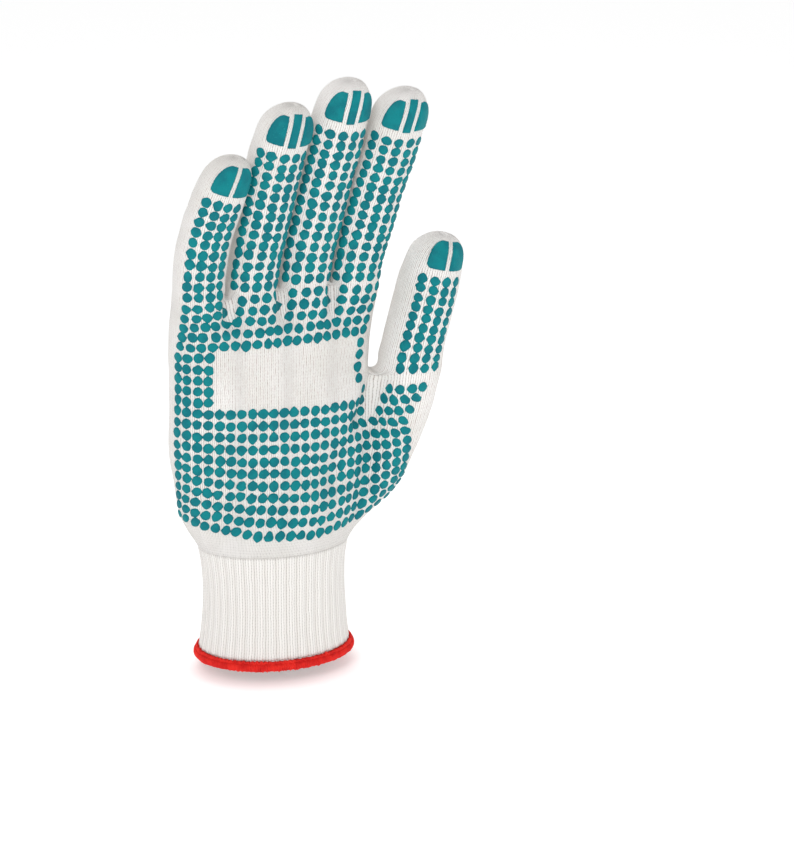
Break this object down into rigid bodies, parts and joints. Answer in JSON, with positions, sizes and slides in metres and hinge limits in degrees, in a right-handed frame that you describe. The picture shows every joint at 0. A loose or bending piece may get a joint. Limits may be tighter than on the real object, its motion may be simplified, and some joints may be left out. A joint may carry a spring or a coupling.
{
  "type": "dotted work glove",
  "caption": "Seamless knitted work glove for the right hand, with ribbed cuff, overlocked hem, printed grip dots on the palm and split grip pads on the fingertips.",
  "frame": {"origin": "centre of the wrist opening, level with the lower edge of the hem", "axes": "+Z from the wrist to the fingertips, -Y out of the palm, +X towards the thumb"},
  "size_m": [0.1221, 0.0593, 0.2414],
  "materials": {
    "knit": "plain knitted cotton and polyester yarn, off-white, matt",
    "rib_knit": "elastic rib knit, off-white, matt",
    "red_thread": "overlocked textured thread, bright red, matt",
    "grip_print": "printed soft PVC, teal, satin with a fine grain"
  },
  "bodies": {
    "root": {"hand_body": "knit", "rib_cuff": "rib_knit", "hem_edge": "red_thread", "little_finger": "knit", "little_pad_left": "grip_print", "little_pad_right": "grip_print", "ring_finger": "knit", "ring_pad_left": "grip_print", "ring_pad_right": "grip_print", "ring_pad_bar": "grip_print", "middle_finger": "knit", "middle_pad_left": "grip_print", "middle_pad_right": "grip_print", "middle_pad_bar": "grip_print", "index_finger": "knit", "index_pad_left": "grip_print", "index_pad_right": "grip_print", "index_pad_bar": "grip_print", "thumb": "knit", "thumb_pad_left": "grip_print", "thumb_pad_right": "grip_print"}
  },
  "joints": []
}
